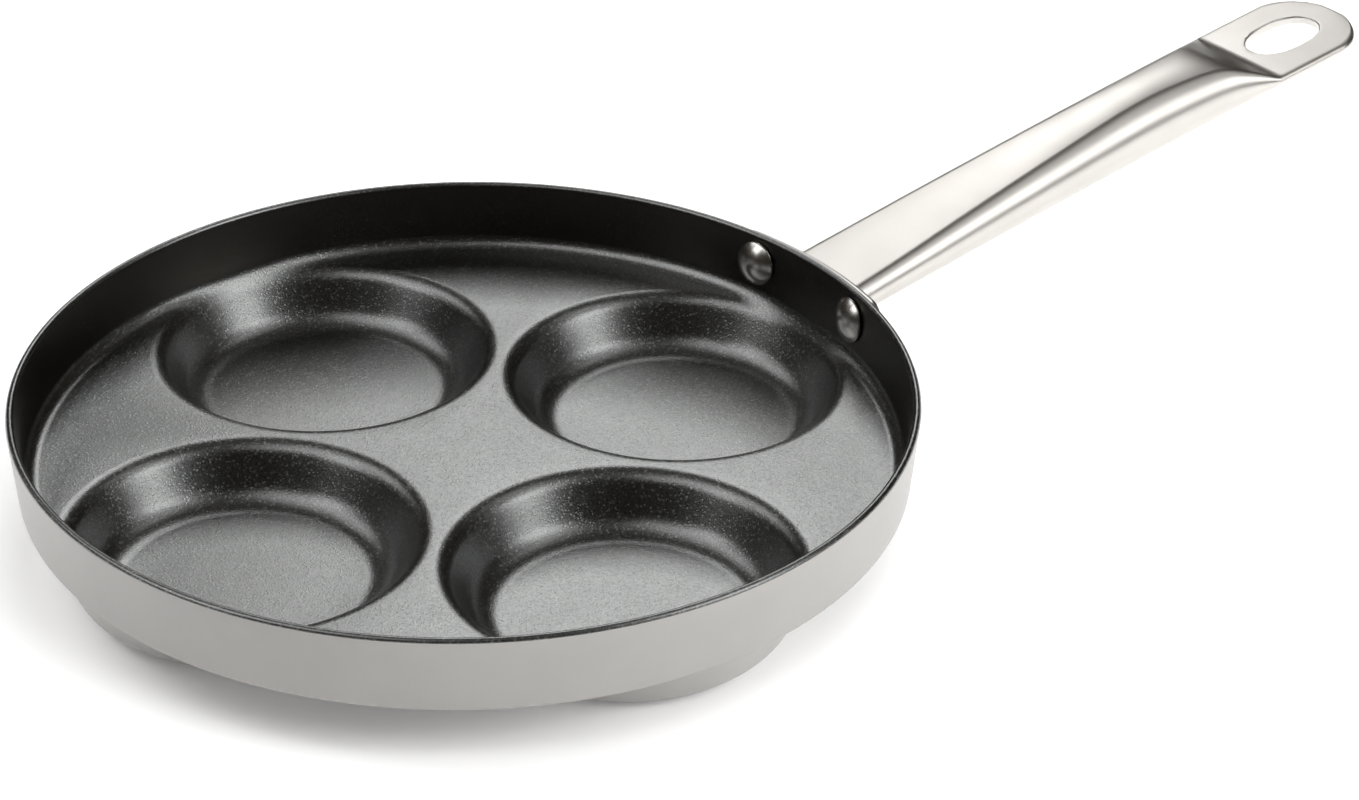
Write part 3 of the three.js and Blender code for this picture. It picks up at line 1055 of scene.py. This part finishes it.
@dataclass
class Handle:
    """The hollow steel handle: a tube pressed oval, with a flat tip and a hanging hole."""

    pan: PanBody
    rivets: Rivets
    grip_length: float = 167.5 * MM
    grip_foot: float = 25.8 * MM
    foot_slope: float = 0.1775
    crease_slope: float = 0.1424
    girth_foot: float = 72.4 * MM
    girth_crease: float = 76 * MM
    belly: float = 9.3 * MM
    tube_wall: float = 1.2 * MM
    bulge_share: float = 0.7
    crown_share: float = 0.07
    tip_length: float = 41 * MM
    tip_thickness: float = 2.4 * MM
    tip_slope: float = 0.137
    tip_half_width: float = 18.4 * MM
    tip_widest_share: float = 0.64
    tip_roundness: float = 1.9
    hole_length: float = 26 * MM
    hole_width: float = 15.8 * MM
    hole_from_tip: float = 22.2 * MM
    hole_roundness: float = 2.3
    hole_edge: float = 0.45 * MM
    hole_flare_share: float = 2.5
    saddle_overrun: float = 4 * MM
    swell_shares: tuple[tuple[float, float], ...] = (
        (0, 0.38),
        (0.15, 0.49),
        (0.31, 0.65),
        (0.51, 0.84),
        (0.7, 1),
        (0.81, 0.97),
        (0.9, 0.82),
        (0.95, 0.49),
        (1, 0),
    )
    panel_steps: int = 12
    side_steps: int = 12
    grip_steps: int = 112
    hollow_steps: int = 56
    tip_steps: int = 14
    nose_steps: int = 34
    hole_edge_steps: int = 7
    hole_steps: int = 96
    saddle_steps: int = 360

    def __post_init__(self) -> None:
        """Works out where the handle starts, creases and ends."""
        self.start = self.pan.axis.x + self.pan.rim_radius - self.pan.sheet
        self.crease = self.start + self.grip_length
        self.flat_half = self.tip_thickness / 2

    def outline(self, half_height: float, half_width: float) -> list[tuple[float, float]]:
        """The handle's closed outline in section: crowned panels and round sides.

        Args:
            half_height: Half its height at the panels' edges.
            half_width: Half its width.

        Returns:
            Points as across and up, turning right from the middle of the top.
        """
        bulge = self.bulge_share * half_height
        panel = half_width - bulge
        radius = (half_height**2 + bulge**2) / (2 * bulge)
        opening = 2 * math.atan2(bulge, half_height)
        quarter = []
        for share in steps(self.panel_steps)[:-1]:
            quarter.append((panel * share, half_height * (1 + self.crown_share * (1 - share**2))))
        for turn in steps(self.side_steps, opening, 0):
            quarter.append((half_width - radius + radius * math.cos(turn), radius * math.sin(turn)))
        right = quarter + [(y, -z) for y, z in reversed(quarter[:-1])]
        return right + [(-y, z) for y, z in reversed(right[1:-1])]

    def _half_width(self, half_height: float, share: float) -> float:
        """Works out the grip's width from the girth, which the tube keeps as it is pressed.

        Args:
            half_height: Half the grip's height.
            share: Share of the way from the wall to the crease.

        Returns:
            Half the width.
        """
        bulge = self.bulge_share * half_height
        radius = (half_height**2 + bulge**2) / (2 * bulge)
        side = 2 * radius * 2 * math.atan2(bulge, half_height)
        girth = self.girth_foot + (self.girth_crease - self.girth_foot) * share
        return (girth - 2 * side) / 4 + bulge

    def _swell(self, count: int) -> list[tuple[float, float]]:
        """Follows the swell of the grip with a smooth curve through its shares.

        Args:
            count: How many steps the curve has.

        Returns:
            Share of the way to the crease, and share of the full height, at each step.
        """
        knots = [Vector((*pair, 0)) for pair in self.swell_shares]
        padded = [knots[0], *knots, knots[-1]]
        found = []
        for t in steps(count, 0, len(knots) - 1):
            index = min(int(t), len(knots) - 2)
            part = t - index
            a, b, c, d = padded[index : index + 4]
            bend = 2 * a - 5 * b + 4 * c - d
            twist = 3 * b - a - 3 * c + d
            point = 0.5 * (2 * b + (c - a) * part + bend * part**2 + twist * part**3)
            found.append((point.x, point.y))
        return found

    def _grip_middle(self, along: float) -> tuple[float, float, float]:
        """The middle line on the grip.

        Args:
            along: Distance from the wall.

        Returns:
            Its place, height and slope there.
        """
        share = along / self.grip_length
        bend = self.crease_slope - self.foot_slope
        height = self.grip_foot + along * (self.foot_slope + bend * share / 2)
        return self.start + along, height, self.foot_slope + bend * share

    def _tip_middle(self, along: float) -> tuple[float, float, float]:
        """Place, height and slope of the middle line on the flat tip."""
        height = self._grip_middle(self.grip_length)[1]
        return self.crease + along, height + along * self.tip_slope, self.tip_slope

    def _ring(self, middle: tuple[float, float, float], half_height: float, half_width: float) -> Ring:
        """The ring of points where an outline stands square on the middle line.

        Args:
            middle: Place, height and slope of the middle line.
            half_height: Half the outline's height.
            half_width: Half its width.

        Returns:
            The ring.
        """
        x, z, slope = middle
        tilt = math.atan(slope)
        ring = []
        for across, up in self.outline(half_height, half_width):
            ring.append(Vector((x - up * math.sin(tilt), across, z + up * math.cos(tilt))))
        return ring

    def _outside(self) -> list[Ring]:
        """Draws the tube's outside.

        Returns:
            Its rings, from the wall to the tip.
        """
        rings = []
        for share, swell in self._swell(self.grip_steps):
            half_height = self.flat_half + (self.belly - self.flat_half) * swell
            half_width = self._half_width(half_height, share)
            rings.append(self._ring(self._grip_middle(share * self.grip_length), half_height, half_width))
        widest = self.tip_length * self.tip_widest_share
        nose = self.tip_length - widest
        crease_width = self._half_width(self.flat_half, 1)
        for share in steps(self.tip_steps)[1:]:
            widening = math.sin(share * math.pi / 2)
            half_width = crease_width + (self.tip_half_width - crease_width) * widening
            rings.append(self._ring(self._tip_middle(widest * share), self.flat_half, half_width))
        for turn in steps(self.nose_steps, 0, math.pi / 2)[1:-1]:
            share = math.sin(turn)
            left = min(nose * (1 - share), self.flat_half)
            half_height = math.sqrt(self.flat_half**2 - (self.flat_half - left) ** 2)
            half_width = self.tip_half_width * (1 - share**self.tip_roundness) ** (1 / self.tip_roundness)
            half_width = max(half_width, half_height)
            rings.append(self._ring(self._tip_middle(widest + nose * share), half_height, half_width))
        return rings

    def _inside(self) -> list[Ring]:
        """Draws the tube's hollow.

        Returns:
            Its rings, from the wall to where it is pressed shut.
        """
        rings = []
        for share, swell in self._swell(self.hollow_steps):
            half_height = self.flat_half + (self.belly - self.flat_half) * swell
            if half_height < 2 * self.tube_wall:
                break
            half_width = self._half_width(half_height, share) - self.tube_wall
            middle = self._grip_middle(share * self.grip_length)
            rings.append(self._ring(middle, half_height - self.tube_wall, half_width))
        return rings

    def _hole_tool(self) -> bpy.types.Object:
        """The cutting shape of the hanging hole, flared at both faces so that its edges come out round.

        Returns:
            The tool.
        """
        x, z, slope = self._tip_middle(self.tip_length - self.hole_from_tip)
        place = Matrix.Translation((x, 0, z)) @ Matrix.Rotation(-math.atan(slope), 4, "Y")
        face = self.flat_half * (1 + self.crown_share)
        levels = []
        for turn in steps(self.hole_edge_steps, 0, math.pi / 2):
            flare = self.hole_edge * (1 - math.cos(turn))
            levels.append((face - self.hole_edge * (1 - math.sin(turn)), flare))
        levels.append((face + self.hole_edge, self.hole_flare_share * self.hole_edge))
        levels = [(-level, flare) for level, flare in reversed(levels)] + levels
        power = 2 / self.hole_roundness
        rings = []
        for level, flare in levels:
            half_length = self.hole_length / 2 + flare
            half_width = self.hole_width / 2 + flare
            ring = []
            for along, across in circle(1, self.hole_steps):
                along = math.copysign(abs(along) ** power, along)
                across = math.copysign(abs(across) ** power, across)
                ring.append(place @ Vector((half_length * along, half_width * across, level)))
            rings.append(ring)
        skin = Skin()
        low, high = [place @ Vector((0, 0, levels[end][0])) for end in (0, -1)]
        skin.closed_tube(rings, low, high)
        return skin.object("hole_tool", [])

    def _saddle_tool(self) -> bpy.types.Object:
        """The cutting shape that fits the tube's foot to the bracket.

        Returns:
            The tool.
        """
        offset = self.rivets.bracket_plate + 2 * self.rivets.clearance
        ends = (-self.saddle_overrun, self.pan.height + self.saddle_overrun)
        rings = []
        for z in ends:
            points = circle(self.pan.outer_wall(z) + offset, self.saddle_steps)
            rings.append([self.pan.axis + Vector((x, y, z)) for x, y in points])
        skin = Skin()
        low, high = [self.pan.axis + Vector((0, 0, z)) for z in ends]
        skin.closed_tube(rings, low, high)
        return skin.object("saddle_tool", [])

    def build(self, finish: bpy.types.Material) -> bpy.types.Object:
        """Makes the handle.

        Args:
            finish: Its steel.

        Returns:
            The piece.
        """
        outside = self._outside()
        inside = self._inside()
        skin = Skin()
        skin.tube([ring[::-1] for ring in [inside[0], *outside]])
        tip = self._tip_middle(self.tip_length)
        skin.fan(outside[-1][::-1], Vector((tip[0], 0, tip[1])))
        skin.tube(inside)
        end = sum(inside[-1], Vector()) / len(inside[-1])
        skin.fan(inside[-1], end)
        handle = skin.object("handle", [finish])
        cut(handle, [self._saddle_tool(), self._hole_tool()])
        return handle


# Bracket


@dataclass
class Bracket:
    """The steel plate outside the wall, with round ends, that the rivets hold and the handle stands on."""

    pan: PanBody
    rivets: Rivets
    end: float = 11.75 * MM
    below_rim: float = 1.2 * MM
    face_edge: float = 1.1 * MM
    back_edge: float = 0.25 * MM
    face_margin_share: float = 1.2
    back_margin_share: float = 2.0
    sharp_angle: float = math.radians(40)
    corner_steps: int = 24
    side_steps: int = 40
    level_steps: int = 6
    face_edge_steps: int = 8
    back_edge_steps: int = 3
    hole_steps: int = 48

    def __post_init__(self) -> None:
        """Works out the plate's outline and the radius that it is bent to."""
        self.half = self.pan.height - self.below_rim - self.rivets.height
        self.straight = self.rivets.spacing / 2 + self.end - self.half
        self.back = self.rivets.clearance
        self.face = self.back + self.rivets.bracket_plate
        self.radius = self.pan.outer_wall(self.rivets.height) + self.back

    def _ring(self, inset: float, offset: float) -> Ring:
        """The plate's outline bent round the wall.

        Args:
            inset: How far the ring lies inside the outline.
            offset: Its distance from the wall.

        Returns:
            The ring.
        """
        reach = self.half - inset
        far, near = self.straight, -self.straight
        outline = self._round_end(far, reach, -math.pi / 2)
        outline += [(along, reach) for along in steps(self.side_steps, far, near)[1:-1]]
        outline += self._round_end(near, reach, math.pi / 2)
        outline += [(along, -reach) for along in steps(self.side_steps, near, far)[1:-1]]
        ring = []
        for along, up in outline:
            z = self.rivets.height + up
            r = self.pan.outer_wall(z) + offset
            angle = along / self.radius
            ring.append(self.pan.axis + Vector((r * math.cos(angle), r * math.sin(angle), z)))
        return ring

    def _round_end(self, centre: float, reach: float, start: float) -> list[tuple[float, float]]:
        """One round end of the outline.

        Args:
            centre: Where its centre lies along the plate.
            reach: Its radius.
            start: The angle at which it begins, for half a turn.

        Returns:
            Its points, along the plate and up.
        """
        turns = steps(self.corner_steps, start, start + math.pi)
        return [(centre + reach * math.cos(turn), reach * math.sin(turn)) for turn in turns]

    def _levels(self) -> list[tuple[float, float]]:
        """Sets the plate's rings, from the middle of the back round the edge to the middle of the face.

        Returns:
            Inset from the outline and distance from the wall of each ring.
        """
        margin = self.back_margin_share * self.back_edge
        levels = [(inset, self.back) for inset in steps(self.level_steps, self.half, margin)]
        for turn in steps(self.back_edge_steps, 0, math.pi / 2):
            rise = self.back_edge * (1 - math.cos(turn))
            levels.append((self.back_edge * (1 - math.sin(turn)), self.back + rise))
        for turn in steps(self.face_edge_steps, 0, math.pi / 2):
            rise = self.face_edge * (1 - math.sin(turn))
            levels.append((self.face_edge * (1 - math.cos(turn)), self.face - rise))
        margin = self.face_margin_share * self.face_edge
        return levels + [(inset, self.face) for inset in steps(self.level_steps, margin, self.half)]

    def _hole_tool(self, side: int) -> bpy.types.Object:
        """The cutting shape of one rivet's hole.

        Args:
            side: One for the left rivet, minus one for the right.

        Returns:
            The tool.
        """
        turn = Matrix.Rotation(side * self.rivets.angle, 4, "Z")
        middle = Matrix.Translation((self.rivets.radius, 0, self.rivets.height))
        place = Matrix.Translation(self.pan.axis) @ turn @ middle @ Matrix.Rotation(self.pan.lean, 4, "Y")
        points = circle(self.rivets.shank + self.rivets.clearance, self.hole_steps)
        ends = (0, 2 * self.face + self.pan.sheet)
        rings = [[place @ Vector((along, y, z)) for y, z in points] for along in ends]
        skin = Skin()
        skin.closed_tube(rings, *(place @ Vector((along, 0, 0)) for along in ends))
        return skin.object("rivet_hole_tool", [])

    def build(self, finish: bpy.types.Material) -> bpy.types.Object:
        """Makes the bracket.

        Args:
            finish: Its steel.

        Returns:
            The piece.
        """
        skin = Skin()
        skin.tube([self._ring(*level) for level in self._levels()])
        bracket = skin.object("bracket", [finish])
        cut(bracket, [self._hole_tool(side) for side in (1, -1)])
        bracket.data.set_sharp_from_angle(angle=self.sharp_angle)
        return bracket


# Studio


@dataclass(frozen=True)
class SoftBox:
    """A rectangular lamp that faces the pan from a direction, given in degrees.

    One that isn't mirrored lights the pan without showing in its shine.
    """

    name: str
    azimuth: float
    elevation: float
    width: float
    height: float
    radiance: float
    mirrored: bool = True
    distance: float = 3.0

    def build(self, target: Vector) -> None:
        """Hangs the lamp and turns it to the target.

        Args:
            target: The point that it faces.
        """
        lamp = bpy.data.lights.new(self.name, "AREA")
        lamp.shape = "RECTANGLE"
        lamp.size = self.width
        lamp.size_y = self.height
        lamp.energy = self.radiance * math.pi * self.width * self.height
        turn = Matrix.Rotation(math.radians(self.azimuth), 3, "Z")
        turn @= Matrix.Rotation(math.radians(-self.elevation), 3, "Y")
        away = turn @ Vector((1, 0, 0))
        side = turn @ Vector((0, 1, 0))
        top = turn @ Vector((0, 0, 1))
        made = bpy.data.objects.new(self.name, lamp)
        stand = Matrix((side, top, away)).transposed().to_4x4()
        made.matrix_world = Matrix.Translation(target + away * self.distance) @ stand
        made.visible_camera = False
        made.visible_glossy = self.mirrored
        bpy.context.scene.collection.objects.link(made)


SOFT_BOXES = (
    SoftBox("right_box", -57, 32, 1.4, 1.7, 2.9),
    SoftBox("top_box", -40, 57, 2.2, 0.85, 0.9),
    SoftBox("back_box", 52, 39, 0.95, 1.45, 2.8),
    SoftBox("left_box", 118, 42, 1.3, 1.1, 1.35),
    SoftBox("side_box", 160, 40, 1.4, 1.3, 1.7),
    SoftBox("high_box", 172, 62, 2.6, 1.3, 1.0),
    SoftBox("front_fill", -66, 34, 2.0, 1.5, 6.6, mirrored=False),
    SoftBox("left_fill", 112, 38, 2.2, 1.6, 5.5, mirrored=False),
    SoftBox("right_fill", -20, 26, 2.6, 0.9, 1.7, mirrored=False),
    SoftBox("top_fill", -20, 74, 3.0, 2.4, 2.5, mirrored=False),
)


@dataclass
class Studio:
    """Camera, floor, lamps and surroundings."""

    pan_axis: Vector
    camera_offset: tuple[float, float, float] = (-0.4629, -0.6793, 0.5109)
    camera_look: tuple[float, float, float] = (0.5343, 0.6790, -0.5035)
    camera_roll: float = math.radians(0.995)
    focal_length: float = 95.18
    sensor_width: float = 36.0
    nearest: float = 0.01
    farthest: float = 50.0
    floor_size: float = 14.0
    lamp_target_height: float = 15 * MM
    sky_low: Colour = (0.016, 0.012, 0.007)
    sky_high: Colour = (0.06, 0.056, 0.05)
    sky_low_rise: float = 0.7
    sky_high_rise: float = 0.85

    def camera(self) -> None:
        """Sets the camera where the photograph was taken from."""
        lens = bpy.data.cameras.new("camera")
        lens.lens = self.focal_length
        lens.sensor_width = self.sensor_width
        lens.clip_start = self.nearest
        lens.clip_end = self.farthest
        made = bpy.data.objects.new("camera", lens)
        look = Vector(self.camera_look).normalized()
        right = look.cross(Vector((0, 0, 1))).normalized()
        up = right.cross(look)
        rolled_right = right * math.cos(self.camera_roll) + up * math.sin(self.camera_roll)
        rolled_up = up * math.cos(self.camera_roll) - right * math.sin(self.camera_roll)
        turn = Matrix((rolled_right, rolled_up, -look)).transposed()
        place = self.pan_axis + Vector(self.camera_offset)
        made.matrix_world = Matrix.Translation(place) @ turn.to_4x4()
        bpy.context.scene.collection.objects.link(made)
        bpy.context.scene.camera = made

    def floor(self) -> None:
        """Lays a pale floor that stays white to the camera where nothing shades it."""
        half = self.floor_size / 2
        mesh = bpy.data.meshes.new("floor")
        corners = [(-half, -half, 0), (half, -half, 0), (half, half, 0), (-half, half, 0)]
        mesh.from_pydata(corners, [], [(0, 1, 2, 3)])
        mesh.materials.append(FloorPaint().material())
        made = bpy.data.objects.new("floor", mesh)
        bpy.context.scene.collection.objects.link(made)
        made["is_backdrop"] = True

    def world(self) -> None:
        """Surrounds the pan with dim warm light, a little paler overhead, and with white to the camera."""
        made = bpy.data.worlds.new("studio")
        made.use_nodes = True
        bpy.context.scene.world = made
        graph = Graph(made.node_tree)
        direction = graph.add("ShaderNodeTexCoord", {}, {}, "Generated")
        parts = graph.node("ShaderNodeSeparateXYZ", {}, {"Vector": direction})
        rise = Signal(graph, parts.outputs["Z"])
        stops = [
            (0.0, (*self.sky_low, 1.0)),
            (self.sky_low_rise, (*self.sky_low, 1.0)),
            (self.sky_high_rise, (*self.sky_high, 1.0)),
        ]
        sky = graph.add("ShaderNodeValToRGB", {"stops": stops}, {"Fac": rise})
        rays = graph.node("ShaderNodeLightPath", {}, {})
        seen = Signal(graph, rays.outputs["Is Camera Ray"])
        colour = graph.mix(seen, sky, (1.0, 1.0, 1.0))
        background = graph.add("ShaderNodeBackground", {}, {"Color": colour, "Strength": 1.0})
        graph.node("ShaderNodeOutputWorld", {}, {"Surface": background})

    def lamps(self) -> None:
        """Hangs the soft boxes round the pan."""
        target = self.pan_axis + Vector((0, 0, self.lamp_target_height))
        for box in SOFT_BOXES:
            box.build(target)

    def build(self) -> None:
        """Makes the whole studio."""
        self.camera()
        self.world()
        self.floor()
        self.lamps()
        bpy.context.scene.view_settings.view_transform = "Standard"


def main() -> None:
    """Builds the studio and the pan's pieces in order."""
    logging.basicConfig(level=logging.INFO, format="%(name)s: %(message)s")
    pan = PanBody.from_frame()
    rivets = Rivets(pan)
    handle = Handle(pan, rivets)
    bracket = Bracket(pan, rivets)
    Studio(pan.axis).build()
    handed_over(pan.build(NonStick().material(), Lacquer().material()), "pan_finish", "pan_body")
    handed_over(handle.build(POLISHED.material()), "handle_steel", "handle_tube")
    handed_over(rivets.build(DOMED.material()), "rivet_steel", "rivet_left", "rivet_right")
    handed_over(bracket.build(SATIN.material()), "bracket_steel", "handle_bracket")
    boxes = {"cad": CAD_BOX, "visual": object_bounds()}
    {name: [list(map(float, corner)) for corner in box] for name, box in boxes.items()}


if __name__ == "__main__":
    main()
